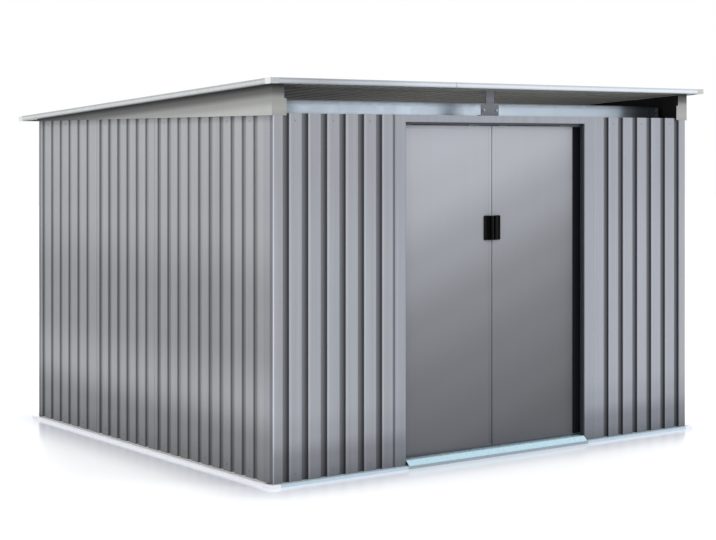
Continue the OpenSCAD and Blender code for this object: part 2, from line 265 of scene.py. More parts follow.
class Graph:
    """A short way to add and join the nodes of one shader tree."""

    def __init__(self, tree: bpy.types.NodeTree) -> None:
        """Takes the tree to add to."""
        self.tree = tree

    @classmethod
    def emptied(cls, owner: bpy.types.Material | bpy.types.World) -> "Graph":
        """Gives a material or a world an empty tree.

        Args:
            owner: the material or the world.

        Returns:
            The graph of its tree.
        """
        owner.use_nodes = True
        owner.node_tree.nodes.clear()
        return cls(owner.node_tree)

    def set(self, socket: Socket, value: object) -> None:
        """Joins another socket to this one, or sets its plain value."""
        if isinstance(value, bpy.types.NodeSocket):
            self.tree.links.new(value, socket)
        else:
            socket.default_value = value

    def node(self, kind: str, inputs: dict | None = None, **settings: object) -> bpy.types.Node:
        """Adds a node.

        Args:
            kind: the node's type without its ShaderNode prefix.
            inputs: value or socket for each input, by name or number.
            settings: the node's own properties.

        Returns:
            The new node.
        """
        made = self.tree.nodes.new(f"ShaderNode{kind}")
        for name, value in settings.items():
            setattr(made, name, value)
        for name, value in (inputs or {}).items():
            self.set(made.inputs[name], value)
        return made

    def math(self, operation: str, *numbers: object) -> Socket:
        """Adds one sum of numbers and returns its result."""
        return self.node("Math", dict(enumerate(numbers)), operation=operation).outputs[0]

    def product(self, *factors: object) -> Socket:
        """Multiplies numbers and returns the result."""
        return reduce(lambda first, second: self.math("MULTIPLY", first, second), factors)

    def total(self, *parts: object) -> Socket:
        """Adds numbers up and returns the result."""
        return reduce(lambda first, second: self.math("ADD", first, second), parts)

    def centred(self, value: object, middle: object, strength: object) -> Socket:
        """Takes the middle from a number, multiplies the rest by a strength and returns it."""
        return self.product(self.math("SUBTRACT", value, middle), strength)

    def span(
        self, value: object, low: object, high: object, start: object = 0.0, stop: object = 1.0,
    ) -> Socket:
        """Goes smoothly from start to stop while a value goes from low to high, and returns the result."""
        ends = {"From Min": low, "From Max": high, "To Min": start, "To Max": stop}
        made = self.node("MapRange", {"Value": value} | ends, interpolation_type="SMOOTHSTEP")
        return made.outputs["Result"]

    def vector(self, operation: str, *vectors: object) -> bpy.types.Node:
        """Adds one sum of vectors and returns its node."""
        return self.node("VectorMath", dict(enumerate(vectors)), operation=operation)

    def dot(self, vector: Socket, direction: Sequence[float]) -> Socket:
        """Distance of a place along a direction."""
        return self.vector("DOT_PRODUCT", vector, tuple(direction)).outputs["Value"]

    def facing(self, direction: Sequence[float]) -> Socket:
        """How far the surface looks along a direction, from -1 to 1."""
        return self.dot(self.node("NewGeometry").outputs["True Normal"], direction)

    def noise(self, vector: Socket, scale: Sequence[float], detail: float) -> Socket:
        """Adds noise with its own scale on each axis and returns it, from 0 to 1."""
        mapped = self.node("Mapping", {"Vector": vector, "Scale": tuple(scale)}).outputs[0]
        return self.node("TexNoise", {"Vector": mapped, "Scale": 1.0, "Detail": detail}).outputs[0]

    def mix(self, share: object, first: object, second: object) -> Socket:
        """Mixes two colours and returns the result."""
        made = self.node("Mix", data_type="RGBA")
        for number, value in ((0, share), (6, first), (7, second)):
            self.set(made.inputs[number], value)
        return made.outputs[2]

    def shade(self, colour: object, tone: Socket) -> Socket:
        """Multiplies a colour by a brightness and returns it."""
        start = colour if isinstance(colour, bpy.types.NodeSocket) else colour[:3]
        return self.node("VectorMath", {0: start, "Scale": tone}, operation="SCALE").outputs[0]

    def effect(self, group: bpy.types.NodeTree, inputs: dict) -> bpy.types.NodeOutputs:
        """Adds a node group with its inputs and returns its outputs."""
        made = self.tree.nodes.new("ShaderNodeGroup")
        made.node_tree = group
        for name, value in inputs.items():
            self.set(made.inputs[name], value)
        return made.outputs

    def faded(self, tone: Socket, place: Socket, fades: Iterable["Fade"]) -> Socket:
        """Multiplies a brightness by each of some fades and returns it."""
        return self.product(tone, *(fade.tone(self, place) for fade in fades))


class Effect(Graph):
    """A shader node group with named inputs and outputs."""

    def __init__(self, name: str, inputs: Iterable[str], outputs: Iterable[str]) -> None:
        """Makes the group.

        Args:
            name: the group's name.
            inputs: names of its inputs, where Vector is a vector and the others are numbers.
            outputs: names of its outputs, all of them numbers.
        """
        super().__init__(bpy.data.node_groups.new(name, "ShaderNodeTree"))
        for side, names in (("INPUT", inputs), ("OUTPUT", outputs)):
            for socket in names:
                kind = "NodeSocketVector" if socket == "Vector" else "NodeSocketFloat"
                self.tree.interface.new_socket(socket, in_out=side, socket_type=kind)
        self.given = self.tree.nodes.new("NodeGroupInput").outputs
        self.result = self.tree.nodes.new("NodeGroupOutput").inputs


@cache
def rolled_tone() -> bpy.types.NodeTree:
    """Node group for the fine upright lines and soft clouds of rolled and painted sheet."""
    fine_scale, broad_scale, cloud_scale = (210, 210, 1.1), (46, 46, 0.5), (2.2, 2.2, 1.3)
    broad_share, line_middle, cloud_middle = 0.7, 0.85, 0.5
    group = Effect("rolled_tone", ("Vector", "Lines", "Clouds"), ("Tone", "Height"))
    given = group.given
    fine = group.noise(given["Vector"], fine_scale, 3)
    broad = group.noise(given["Vector"], broad_scale, 2)
    clouds = group.noise(given["Vector"], cloud_scale, 2)
    lined = group.centred(group.total(fine, group.product(broad, broad_share)), line_middle, given["Lines"])
    clouded = group.centred(clouds, cloud_middle, given["Clouds"])
    group.set(group.result["Tone"], group.total(1.0, group.total(lined, clouded)))
    group.set(group.result["Height"], fine)
    return group.tree


@cache
def groove_shade_and_highlight() -> bpy.types.NodeTree:
    """Node group of painted shade on the floor and steep sides of grooves, and a painted highlight on crest
    edges.
    """
    floor_across, floor_depth, steep_sides = (0.1, 0.9), (0.1, 0.8), (0.5, 0.85)
    edge_rise, edge_fall, crest_depth = (0.98, 1.06), (1.15, 1.45), (0.0, 0.3)
    inputs = ("Depth", "Groove", "Across", "Steepness", "Near Tone", "Far Tone", "Side Tone", "Edge Light")
    group = Effect("groove_shade_and_highlight", inputs, ("Tone",))
    given = group.given
    share = group.math("DIVIDE", given["Depth"], given["Groove"])
    base = group.span(given["Across"], *floor_across, given["Near Tone"], given["Far Tone"])
    deep = group.span(share, *floor_depth)
    floor = group.math("MULTIPLY_ADD", deep, group.math("SUBTRACT", base, 1.0), 1.0)
    steep = group.centred(given["Side Tone"], floor, group.span(given["Steepness"], *steep_sides))
    rise, fall = group.span(given["Across"], *edge_rise), group.span(given["Across"], *edge_fall, 1.0, 0.0)
    crest = group.product(rise, fall, given["Edge Light"], group.span(share, *crest_depth, 1.0, 0.0))
    group.set(group.result["Tone"], group.total(floor, steep, crest))
    return group.tree


@cache
def zinc_spangle() -> bpy.types.NodeTree:
    """Node group for the crystal patches of hot-dipped zinc."""
    crystal_scale, stain_scale = 60.0, (7, 7, 7)
    patch_share, stain_share, middle = 0.6, 0.8, 0.7
    group = Effect("zinc_spangle", ("Vector", "Strength"), ("Tone", "Patch"))
    cells = group.node("TexVoronoi", {"Vector": group.given["Vector"], "Scale": crystal_scale})
    patch = group.node("SeparateColor", {0: cells.outputs["Color"]}).outputs[0]
    stain = group.noise(group.given["Vector"], stain_scale, 4)
    both = group.total(group.product(patch, patch_share), group.product(stain, stain_share))
    group.set(group.result["Tone"], group.total(1.0, group.centred(both, middle, group.given["Strength"])))
    group.set(group.result["Patch"], patch)
    return group.tree


@dataclass(frozen=True)
class Fade:
    """A slow change of brightness along a direction, on every face or only on those that look one way."""

    stops: tuple[Run, ...]
    direction: Triple = UP
    facing: Triple | None = None
    facing_run: Run = (0.5, 0.9)

    def tone(self, graph: Graph, place: Socket) -> Socket:
        """Adds the fade to a material.

        Args:
            graph: the material's graph.
            place: place on the shed.

        Returns:
            The brightness, 1 where nothing changes.
        """
        low, high = self.stops[0][0], self.stops[-1][0]
        beyond = graph.math("SUBTRACT", graph.dot(place, self.direction), low)
        ramp = graph.node("ValToRGB", {0: graph.math("DIVIDE", beyond, high - low)})
        elements = ramp.color_ramp.elements
        while len(elements) < len(self.stops):
            elements.new(0.5)
        for element, (reach, tone) in zip(elements, self.stops):
            element.position = (reach - low) / (high - low)
            element.color = (tone, tone, tone, 1.0)
        ramp.color_ramp.interpolation = "EASE"
        if not self.facing:
            return ramp.outputs[0]
        share = graph.span(graph.facing(self.facing), *self.facing_run)
        return graph.total(graph.centred(ramp.outputs[0], 1.0, share), 1.0)


class Look(NamedTuple):
    """What a finish gives its shader: a colour, a roughness and a height for the relief."""

    colour: Socket
    roughness: Socket
    height: Socket


@dataclass(frozen=True)
class Finish:
    """What every finish has. Each kind of finish adds its own pattern."""

    name: str
    slot: str
    colour: Colour
    roughness: float = 0.42
    metallic: float = 0.0
    gloss: float = 0.3
    relief: float = 0.1 * MM
    relief_strength: float = 0.6
    unevenness: float = 0.1
    fades: tuple[Fade, ...] = ()

    @cache
    def material(self) -> bpy.types.Material:
        """Makes the material once, with the shader and the relief that all finishes share."""
        made = bpy.data.materials.new(self.name)
        made.diffuse_color = self.colour
        graph = Graph.emptied(made)
        look = self.look(graph, graph.node("TexCoord").outputs["Object"])
        relief = {"Height": look.height, "Distance": self.relief, "Strength": self.relief_strength}
        shader = graph.node("BsdfPrincipled", {
            "Base Color": look.colour,
            "Roughness": look.roughness,
            "Metallic": self.metallic,
            "Specular IOR Level": self.gloss,
            "Normal": graph.node("Bump", relief).outputs[0],
        })
        graph.node("OutputMaterial", {"Surface": shader.outputs[0]})
        return made

    def faded(self, graph: Graph, place: Socket, tone: Socket) -> Socket:
        """Multiplies a brightness by each of the finish's fades and returns it."""
        return graph.faded(tone, place, self.fades)

    def uneven(self, graph: Graph, pattern: Socket) -> Socket:
        """The roughness, moved up and down by a pattern that goes from 0 to 1."""
        return graph.math("MULTIPLY_ADD", pattern, self.unevenness, self.roughness - self.unevenness / 2)

    def look(self, graph: Graph, place: Socket) -> Look:
        """Adds the finish's own pattern and returns it."""
        raise NotImplementedError


@dataclass(frozen=True)
class SheetPaint(Finish):
    """Satin paint on flat sheet, with fine rolling lines."""

    lines: float = 0.26
    clouds: float = 0.1
    lying: bool = False

    def look(self, graph: Graph, place: Socket) -> Look:
        """Lines and clouds, darkened by the fades. The lines run upright, or from front to rear if lying."""
        turn = (math.pi / 2 if self.lying else 0.0, 0.0, 0.0)
        turned = graph.node("Mapping", {"Vector": place, "Rotation": turn}).outputs[0]
        rolled = graph.effect(rolled_tone(), {"Vector": turned, "Lines": self.lines, "Clouds": self.clouds})
        colour = graph.shade(self.colour, self.faded(graph, place, rolled["Tone"]))
        return Look(colour, self.uneven(graph, rolled["Height"]), rolled["Height"])


class GrooveTones(NamedTuple):
    """Painted shade of a groove's floor at its two edges and of its steep sides, and the painted highlight of
    its crest edge.
    """

    near: float = 0.7
    far: float = 0.7
    side: float = 0.5
    edge_light: float = 0.0


@dataclass(frozen=True)
class Grooves:
    """Where the grooves of a ribbed wall lie, and their tones."""

    level: float
    start: float
    pitch: float
    tones: GrooveTones = GrooveTones()
    width: float = 35 * MM
    depth: float = 12 * MM


@dataclass(frozen=True)
class WallPaint(SheetPaint):
    """Satin paint on ribbed wall sheet, with painted shade and a painted highlight at its grooves, and matt
    dust in them.
    """

    facing: Facing = Facing.FRONT
    grooves: Grooves = Grooves(0.0, 0.0, 0.1)
    dust: float = 0.2

    def look(self, graph: Graph, place: Socket) -> Look:
        """The sheet's own lines, with painted shade in the grooves, a painted highlight on the crest edges
        and matt dust in the grooves.
        """
        plain = super().look(graph, place)
        ribs = self.grooves
        depth = graph.math("SUBTRACT", ribs.level, graph.dot(place, self.facing.outward))
        across = graph.math("WRAP", graph.dot(place, self.facing.along), ribs.start + ribs.pitch, ribs.start)
        # painted shade in each groove and a painted highlight on the crest edge beside it
        shaded = graph.effect(groove_shade_and_highlight(), {
            "Depth": depth,
            "Groove": ribs.depth,
            "Across": graph.math("DIVIDE", graph.math("SUBTRACT", across, ribs.start), ribs.width),
            "Steepness": graph.math("ABSOLUTE", graph.facing(self.facing.along)),
            "Near Tone": ribs.tones.near,
            "Far Tone": ribs.tones.far,
            "Side Tone": ribs.tones.side,
            "Edge Light": ribs.tones.edge_light,
        })
        rough = graph.total(plain.roughness, graph.span(depth, 0.0, ribs.depth, 0.0, self.dust))
        return Look(graph.shade(plain.colour, shaded["Tone"]), rough, plain.height)


@dataclass(frozen=True)
class CoatedSheet(SheetPaint):
    """Painted sheet with a plain backing coat on the side that looks inwards or down."""

    outward: Triple = UP
    backing: Colour = tint(243, 240, 232)
    backing_run: Run = (-0.5, -0.15)
    backing_fades: tuple[Fade, ...] = ()
    hollow: Run = (0.0, 1.0)
    hollow_tone: float = 1.0

    def look(self, graph: Graph, place: Socket) -> Look:
        """Paint on the outer side, and backing coat on the other, with painted shade in the ribs' hollows and
        by the backing fades.
        """
        plain = super().look(graph, place)
        inner = graph.span(graph.facing(self.outward), *self.backing_run, 1.0, 0.0)
        # painted shade on the backing coat, in the ribs' hollows and by the backing fades
        shade = graph.span(graph.dot(place, self.outward), *self.hollow, 1.0, self.hollow_tone)
        backing = graph.shade(self.backing, graph.faded(shade, place, self.backing_fades))
        return Look(graph.mix(inner, plain.colour, backing), plain.roughness, plain.height)


@dataclass(frozen=True)
class PostPaint(SheetPaint):
    """Paint on a rounded corner post: its own fades on the faces to either side, and a painted highlight on
    the bend.
    """

    side_fades: tuple[Fade, ...] = ()
    side_run: Run = (0.75, 0.97)
    bend_rise: Run = (0.15, 0.4)
    bend_fall: Run = (0.8, 0.97)
    bend_light: float = 0.9

    def faded(self, graph: Graph, place: Socket, tone: Socket) -> Socket:
        """Multiplies a brightness by the fades of each face and by the bend's painted highlight, and returns
        it.
        """
        front = super().faded(graph, place, tone)
        side = graph.faded(tone, place, self.side_fades)
        turn = graph.math("ABSOLUTE", graph.facing(ACROSS))
        share = graph.span(turn, *self.side_run)
        both = graph.math("MULTIPLY_ADD", share, graph.math("SUBTRACT", side, front), front)
        # painted highlight on the rounded bend between the faces
        bend = graph.product(graph.span(turn, *self.bend_rise), graph.span(turn, *self.bend_fall, 1.0, 0.0))
        return graph.product(both, graph.math("MULTIPLY_ADD", bend, self.bend_light, 1.0))


@dataclass(frozen=True)
class ZincCoat(Finish):
    """Galvanised steel with its crystal patches."""

    metallic: float = 0.85
    roughness: float = 0.3
    relief: float = 0.004 * MM
    unevenness: float = 0.12
    spangle: float = 0.08

    def look(self, graph: Graph, place: Socket) -> Look:
        """Crystal patches, darkened by the fades."""
        made = graph.effect(zinc_spangle(), {"Vector": place, "Strength": self.spangle})
        colour = graph.shade(self.colour, self.faded(graph, place, made["Tone"]))
        return Look(colour, self.uneven(graph, made["Patch"]), made["Tone"])


@dataclass(frozen=True)
class Moulding(Finish):
    """Moulded plastic, nylon or rubber with a fine grain."""

    unevenness: float = 0.14
    grain: float = 900.0
    cloud: float = 14.0
    mottle: float = 0.12

    def look(self, graph: Graph, place: Socket) -> Look:
        """Fine grain, with slow changes of tone."""
        grain = graph.noise(place, (self.grain,) * 3, 1)
        cloud = graph.noise(place, (self.cloud,) * 3, 3)
        tone = graph.total(graph.centred(cloud, 0.5, self.mottle), 1.0)
        colour = graph.shade(self.colour, self.faded(graph, place, tone))
        return Look(colour, self.uneven(graph, grain), grain)


class Shape:
    """A bmesh that grows part by part and ends as one piece."""

    def __init__(self) -> None:
        """Starts empty."""
        self.mesh = bmesh.new()

    def soften(self, edges: Iterable[bmesh.types.BMEdge], offset: float, steps: int) -> None:
        """Rounds edges with a bevel."""
        bmesh.ops.bevel(
            self.mesh, geom=list(edges), offset=offset, offset_type="OFFSET", segments=steps,
            profile=0.5, affect="EDGES", material=-1, clamp_overlap=True,
        )

    def block(self, start: Sequence[float], stop: Sequence[float], soft: float = 0.0, steps: int = 2) -> None:
        """Adds a block with rounded edges.

        Args:
            start: one of its corners.
            stop: the opposite corner.
            soft: size of the rounding.
            steps: facets in the rounding.
        """
        low, high = (Vector(map(pick, start, stop)) for pick in (min, max))
        corners = bmesh.ops.create_cube(self.mesh, size=1.0)["verts"]
        bmesh.ops.scale(self.mesh, vec=high - low, verts=corners)
        bmesh.ops.translate(self.mesh, vec=(low + high) / 2, verts=corners)
        if soft:
            self.soften({edge for vertex in corners for edge in vertex.link_edges}, soft, steps)

    def disc(
        self, radius: float, top_radius: float, low: float, high: float, sides: int,
    ) -> bmesh.types.BMFace:
        """Adds an upright cone or prism and returns its top face."""
        made = bmesh.ops.create_cone(
            self.mesh, cap_ends=True, segments=sides, radius1=radius, radius2=top_radius, depth=high - low,
        )["verts"]
        bmesh.ops.translate(self.mesh, vec=(0, 0, (low + high) / 2), verts=made)
        faces = {face for vertex in made for face in vertex.link_faces}
        return max(faces, key=lambda face: face.calc_center_median().z)

    def stamp(self, template: bpy.types.Mesh, places: Iterable[Matrix]) -> None:
        """Adds a copy of a mesh in each frame, and removes the mesh."""
        for place in places:
            known = set(self.mesh.verts)
            self.mesh.from_mesh(template)
            fresh = [vertex for vertex in self.mesh.verts if vertex not in known]
            bmesh.ops.transform(self.mesh, matrix=place, verts=fresh)
        bpy.data.meshes.remove(template)

    def flip(self) -> None:
        """Turns everything over to the other side of the shed. to_mesh sets the faces right again."""
        bmesh.ops.scale(self.mesh, vec=(-1, 1, 1), verts=self.mesh.verts)

    def to_mesh(self, name: str) -> bpy.types.Mesh:
        """Ends the bmesh as a mesh, its faces outwards and its flat faces sharp at their edges."""
        bmesh.ops.recalc_face_normals(self.mesh, faces=self.mesh.faces)
        for face in self.mesh.faces:
            face.smooth = True
        for edge in self.mesh.edges:
            edge.smooth = edge.calc_face_angle(math.pi) < SHARP
        made = bpy.data.meshes.new(name)
        self.mesh.to_mesh(made)
        self.mesh.free()
        return made

    def piece(self, name: str, body: str, finish: Finish) -> bpy.types.Object:
        """Ends the bmesh as a piece of the shed.

        Args:
            name: the piece's name.
            body: the body that it rides on.
            finish: its finish.

        Returns:
            The piece's object.
        """
        data = self.to_mesh(name)
        data.materials.append(finish.material())
        made = show(name, data)
        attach(made, body)
        LOG.info("%s: %d faces on %s", name, len(data.polygons), body)
        return made


@dataclass(frozen=True)
class Fastener:
    """A screw, bolt or rivet as seen from outside: a flange, a head and a recess in it."""

    head_radius: float
    head_height: float
    flange_radius: float
    flange_height: float
    sides: int = 10
    recess: float = 0.0
    sunk: float = 0.2 * MM
    flange_sides: int = 12
    flange_taper: float = 0.88
    head_taper: float = 0.82
    recess_rim: float = 0.38

    def template(self, name: str) -> bpy.types.Mesh:
        """Makes the fastener's mesh, standing on the ground with its head up."""
        shape = Shape()
        flange = (self.flange_radius, self.flange_radius * self.flange_taper)
        shape.disc(*flange, -self.sunk, self.flange_height, self.flange_sides)
        head = (self.head_radius, self.head_radius * self.head_taper)
        crown = shape.disc(*head, self.flange_height, self.flange_height + self.head_height, self.sides)
        if self.recess:
            rim = self.head_radius * self.recess_rim
            bmesh.ops.inset_individual(shape.mesh, faces=[crown], thickness=rim)
            bmesh.ops.translate(shape.mesh, vec=(0, 0, -self.recess), verts=crown.verts)
        return shape.to_mesh(name)

    def row(self, name: str, places: Iterable[Matrix], body: str, finish: Finish) -> None:
        """Puts a copy at each place and makes one piece of them.

        Args:
            name: the piece's name.
            places: frame of each fastener, with its local Z out of the surface.
            body: the body that they ride on.
            finish: their finish.
        """
        shape = Shape()
        shape.stamp(self.template(f"{name}_template"), places)
        shape.piece(name, body, finish)


class Palette:
    """Every finish on the shed, by a short name."""

    def __init__(self) -> None:
        """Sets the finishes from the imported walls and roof."""
        # front_fade and side_fade are painted shade: darker towards the bottom, and on the side walls also
        # darker from 0.6 to 0.8 m and just under the top edge
        self.front_fade = Fade(((0.0, 0.42), (0.1, 0.57), (0.21, 0.88), (0.33, 1.0), (0.9, 0.98), (1.5, 0.9)))
        self.side_fade = Fade((
            (0.0, 0.42), (0.16, 0.54), (0.36, 0.9), (0.6, 0.7), (0.8, 0.7), (1.15, 0.92),
            (1.58, 1.0), (1.61, 0.72),
        ))
        self.roof_out = Cad.roof_normal()
        self.finishes: dict[str, Finish] = {
            **self.zinc_coats(), **self.rail_coats(), **self.mouldings(), **self.fixing_coats(),
            **self.wall_paints(), **self.door_paints(), **self.post_paints(), **self.gable_paints(),
            **self.roof_paints(),
        }

    def __getitem__(self, name: str) -> Finish:
        """A finish by its short name."""
        return self.finishes[name]

    @staticmethod
    def zinc_coats() -> dict[str, Finish]:
        """Sets the zinc of the frame inside and of the beam with its brackets."""
        # painted shade on the beam: darker at its top and bottom edges and towards both ends
        beam_edge_shade = Fade(((1.627, 0.85), (1.645, 1.0), (1.668, 1.0), (1.682, 0.8), (1.693, 0.4)))
        beam_end_shade = Fade((
            (-1.24, 0.45), (-1.08, 0.5), (-0.98, 0.88), (-0.3, 1.0), (1.02, 1.0), (1.09, 0.45), (1.28, 0.3),
        ), ACROSS)
        return {
            "zinc": ZincCoat(
                "inner_zinc", "galvanised_steel", tint(176, 182, 188), metallic=0.7, roughness=0.36,
            ),
            "beam": ZincCoat(
                "beam_zinc", "galvanised_steel", tint(212, 226, 240), metallic=0.7, roughness=0.42,
                spangle=0.03, fades=(beam_edge_shade, beam_end_shade),
            ),
            "bracket": ZincCoat(
                "bracket_zinc", "galvanised_steel", tint(124, 128, 135), metallic=0.3, roughness=0.45,
                spangle=0.05, fades=(Fade(((1.627, 0.75), (1.69, 0.8), (1.71, 1.0))),),
            ),
        }

    @staticmethod
    def rail_coats() -> dict[str, Finish]:
        """Sets the zinc of the base rails and the sill, with painted shade on the front rail under the doors
        and on the sill by the doors.
        """
        ramp_end, under_tone, sill_shade_depth, sill_shade_tone = 14 * MM, 0.6, 45 * MM, 0.5
        rail = ZincCoat(
            "rail_zinc", "galvanised_steel", tint(254, 254, 255), metallic=0.08, roughness=0.4, spangle=0.04,
        )
        half = -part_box("door_ramp")[0].x
        # painted shade on the front rail under the ramp
        under = Fade((
            (-half - ramp_end, 1.0), (-half, under_tone), (half, under_tone), (half + ramp_end, 1.0),
        ), ACROSS)
        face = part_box("door_jamb_left")[0].y
        return {
            "rail": rail,
            # the front rail's zinc is a darker, bluer copy of the rails': painted shade
            "front_rail": replace(rail, name="front_rail_zinc", colour=tint(205, 222, 232), fades=(under,)),
            "sill": ZincCoat(
                "sill_bright", "sill_metal", tint(207, 239, 253), metallic=0.05, spangle=0.015,
                # painted shade on the sill, darker towards the doors
                fades=(Fade(((face, 1.0), (face + sill_shade_depth, sill_shade_tone)), INWARD),),
            ),
        }

    @staticmethod
    def mouldings() -> dict[str, Finish]:
        """Sets the plastics and rubbers."""
        # painted shade: the caps' faces that look forward are darker
        cap_front_shade = Fade(((0.0, 0.6), (2.0, 0.6)), facing=OUTWARD)
        plastic = "handle_plastic"
        return {
            "cap": Moulding(
                "cap_moulding", "cap_plastic", tint(240, 243, 242), roughness=0.5, fades=(cap_front_shade,),
            ),
            "handle": Moulding("handle_moulding", plastic, tint(6, 7, 8), roughness=0.42, gloss=0.08),
            "rubber": Moulding("seal_rubber", plastic, tint(28, 29, 34), roughness=0.7, gloss=0.1),
            "grey_rubber": Moulding("seal_grey", plastic, tint(76, 79, 86), roughness=0.6, gloss=0.15),
            "brush": Moulding("brush_grey", plastic, tint(104, 106, 112), roughness=0.8, gloss=0.1),
            "nylon": Moulding("runner_moulding", "runner_nylon", tint(222, 221, 214), roughness=0.45),
        }

    def fixing_coats(self) -> dict[str, Finish]:
        """Sets the bare and the painted fixings."""
        # the painted screws carry the walls' painted shade, darker towards the bottom
        painted = SheetPaint("painted_fixing", "wall_paint", tint(168, 171, 178), fades=(self.front_fade,))
        return {
            "fixing": ZincCoat("fixing_zinc", "galvanised_steel", tint(150, 154, 160), roughness=0.34),
            "painted_fixing": painted,
            "pale_fixing": SheetPaint("pale_fixing", "roof_paint", tint(208, 211, 216)),
        }

    def wall_paints(self) -> dict[str, Finish]:
        """Sets the paint of each ribbed wall, with its crests and grooves read off its node, and painted
        light and shade in its tint and grooves.
        """
        jamb_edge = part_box("door_jamb_left")[0].x
        # painted shadow line on the wall beside the left jamb's outer edge
        seam = Fade(((jamb_edge - 5 * MM, 1.0), (jamb_edge, 0.6)), ACROSS, OUTWARD)
        front, side = (self.front_fade,), (self.side_fade,)
        # each wall's tint is a lighter or darker copy of one paint, as painted light and shade; the groove
        # tones are painted shade and painted highlight
        unseen = GrooveTones(0.97, 0.74, 0.5)
        plans = {
            "front_wall_left": (tint(168, 171, 178), (*front, seam), GrooveTones(0.6, 0.3, 0.16, 0.3)),
            "front_wall_right": (tint(166, 170, 179), front, GrooveTones(0.66, 0.24, 0.12, 0.15)),
            "left_wall": (tint(176, 177, 180), side, unseen),
            "right_wall": (tint(164, 166, 170), side, unseen),
            "rear_wall": (tint(168, 171, 178), front, unseen),
        }
        paints: dict[str, Finish] = {}
        for node, (colour, fades, tones) in plans.items():
            facing = WALLS[node]
            level = Cad.crest_level(node, facing)
            crests = Cad.flats(node, facing.outward, facing.along, level)
            grooves = Grooves(level, crests[1][1], crests[2][1] - crests[1][1], tones)
            name = f"{node}_satin"
            paints[node] = WallPaint(name, "wall_paint", colour, fades=fades, facing=facing, grooves=grooves)
        return paints

    def door_paints(self) -> dict[str, Finish]:
        """Sets the paint of the door frame and the leaves."""
        lean = (-0.4, 0.0, 1.0)
        shade = Fade((
            (0.0, 0.24), (0.25, 0.31), (0.5, 0.37), (0.8, 0.48), (1.1, 0.69), (1.4, 0.93), (1.65, 1.0),
        ), lean)
        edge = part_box("door_jamb_left")[0].x
        # painted shadow line along the left jamb's outer edge
        shade_line = Fade(((edge, 0.42), (edge + 8 * MM, 0.3), (edge + 13 * MM, 1.0)), ACROSS, OUTWARD)
        jamb = SheetPaint("frame_satin", "frame_paint", tint(163, 167, 176), fades=(self.front_fade,))
        return {
            "frame": jamb,
            "left_jamb": replace(jamb, name="left_jamb_satin", fades=(self.front_fade, shade_line)),
            "door": SheetPaint(
                "door_satin", "door_paint", tint(180, 183, 190), lines=0.06, clouds=0.04, fades=(shade,),
            ),
        }

    def post_paints(self) -> dict[str, Finish]:
        """Sets the paint of the corner posts, with a painted shade line beside the corner on their side
        faces.
        """
        start, dark, stop, tone = 32 * MM, 22 * MM, 8 * MM, 0.56
        paints: dict[str, Finish] = {}
        for end, facing in (("front", Facing.FRONT), ("rear", Facing.REAR)):
            face = max(corner.dot(facing.outward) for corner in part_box(f"corner_post_{end}_left"))
            # painted shade line on the side face, from 8 to 32 mm behind the corner
            shade_line = Fade(((face - start, 1.0), (face - dark, tone), (face - stop, tone)), facing.value)
            paints[f"{end}_post"] = PostPaint(
                f"{end}_post_satin", "wall_paint", tint(167, 170, 176), fades=(self.front_fade,),
                side_fades=(self.side_fade, shade_line),
            )
        return paints

    def gable_paints(self) -> dict[str, Finish]:
        """Sets the paint of the gables, with painted shade under the eaves and on their front flanges, and a
        dark backing coat inside as painted shade.
        """
        pan = Cad.reach("roof_sheet_1", self.roof_out)[0]
        # painted shade under the eaves, darkest against the roof
        eave = Fade(
            ((pan - 0.11, 1.0), (pan - 0.065, 0.68), (pan - 0.03, 0.24), (pan, 0.06)), tuple(self.roof_out),
        )
        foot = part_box("left_gable")[0].z
        # painted shade on the front flanges, darker towards their foot
        flange = Fade(((foot, 0.68), (foot + 30 * MM, 0.76), (foot + 75 * MM, 1.0)), facing=OUTWARD)
        return {
            f"{side}_gable": CoatedSheet(
                f"{side}_gable_satin", "frame_paint", tint(190, 191, 188), fades=(eave, flange), lines=0.08,
                # the dark backing on the inner face is painted shade
                outward=outward.value, backing=tint(44, 44, 45),
            )
            for side, outward in zip(SIDES, (Facing.LEFT, Facing.RIGHT))
        }

    def roof_paints(self) -> dict[str, Finish]:
        """Sets the paint of the roof sheets and their edge trims, with painted shade on the trims and the
        roof's underside.
        """
        out = tuple(self.roof_out)
        pan = Cad.reach("roof_sheet_1", self.roof_out)[0]
        low, top = Cad.reach("roof_trim_front_left", self.roof_out)
        # painted shade along the trims' lower edge and under their top fold
        hem = Fade((
            (low, 0.55), (low + 4 * MM, 0.75), (low + 7 * MM, 1.0),
            (top - 10 * MM, 1.0), (top - 6 * MM, 0.72), (top, 0.78),
        ), out)
        # painted shade: the front trim darker towards its left end
        reach = Fade(((-1.36, 0.72), (-1.1, 0.58), (-0.8, 0.7), (-0.45, 0.92), (-0.2, 1.0)), ACROSS)
        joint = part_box("roof_trim_front_left")[1].x
        seam = Fade(((joint - 4 * MM, 1.0), (joint, 0.4), (joint + 4 * MM, 1.0)), ACROSS)
        return {
            "roof": CoatedSheet(
                "roof_satin", "roof_paint", tint(212, 215, 220), outward=out, lying=True,
                # painted shade on the underside: dark in the ribs' hollows, and darker towards the front edge
                # and the left side
                hollow=(pan + 1 * MM, pan + 6 * MM), hollow_tone=0.15,
                backing_fades=(
                    Fade(((-1.26, 0.15), (-1.14, 0.4), (-0.95, 1.0)), INWARD),
                    Fade(((-1.35, 0.2), (-0.8, 0.5), (0.0, 0.95), (1.3, 0.85)), ACROSS),
                ),
            ),
            # the front trim's tint is lighter and bluer than the side trims', as painted light
            "front_trim": SheetPaint(
                "front_trim_satin", "roof_paint", tint(222, 229, 237), lines=0.1, fades=(hem, reach, seam),
            ),
            "side_trim": SheetPaint("side_trim_satin", "roof_paint", tint(214, 216, 217), fades=(hem,)),
        }

